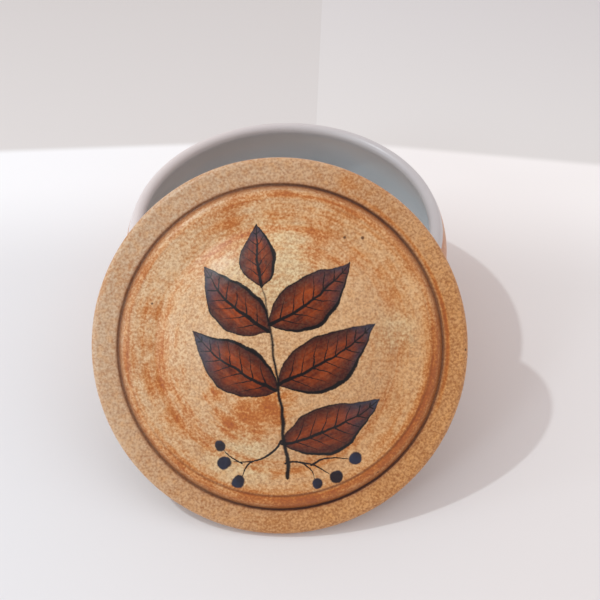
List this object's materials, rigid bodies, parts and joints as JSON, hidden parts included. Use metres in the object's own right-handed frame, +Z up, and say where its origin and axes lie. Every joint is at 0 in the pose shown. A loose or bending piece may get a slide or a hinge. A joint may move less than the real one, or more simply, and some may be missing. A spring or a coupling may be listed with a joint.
{
  "type": "lidded bowl",
  "caption": "Hand-thrown glazed stoneware bowl with a flat-rimmed, domed lid that stands on edge and leans on the bowl's front lip.",
  "frame": {"origin": "middle of the footprint of the bowl and the leaning lid together, on the surface they stand on", "axes": "+Z up; +Y from the lid at the front towards the bowl behind it; +X to the right seen from the front"},
  "size_m": [0.19, 0.2386, 0.1313],
  "materials": {
    "bowl_glaze": "gloss",
    "lid_glaze": "gloss"
  },
  "bodies": {
    "bowl": {"bowl": "bowl_glaze"},
    "lid": {"lid": "lid_glaze"}
  },
  "joints": [
    {"name": "lid_lift", "type": "slide", "parent": "bowl", "child": "lid", "axis": [0, 0, 1], "range_m": [0, 0.12]}
  ]
}
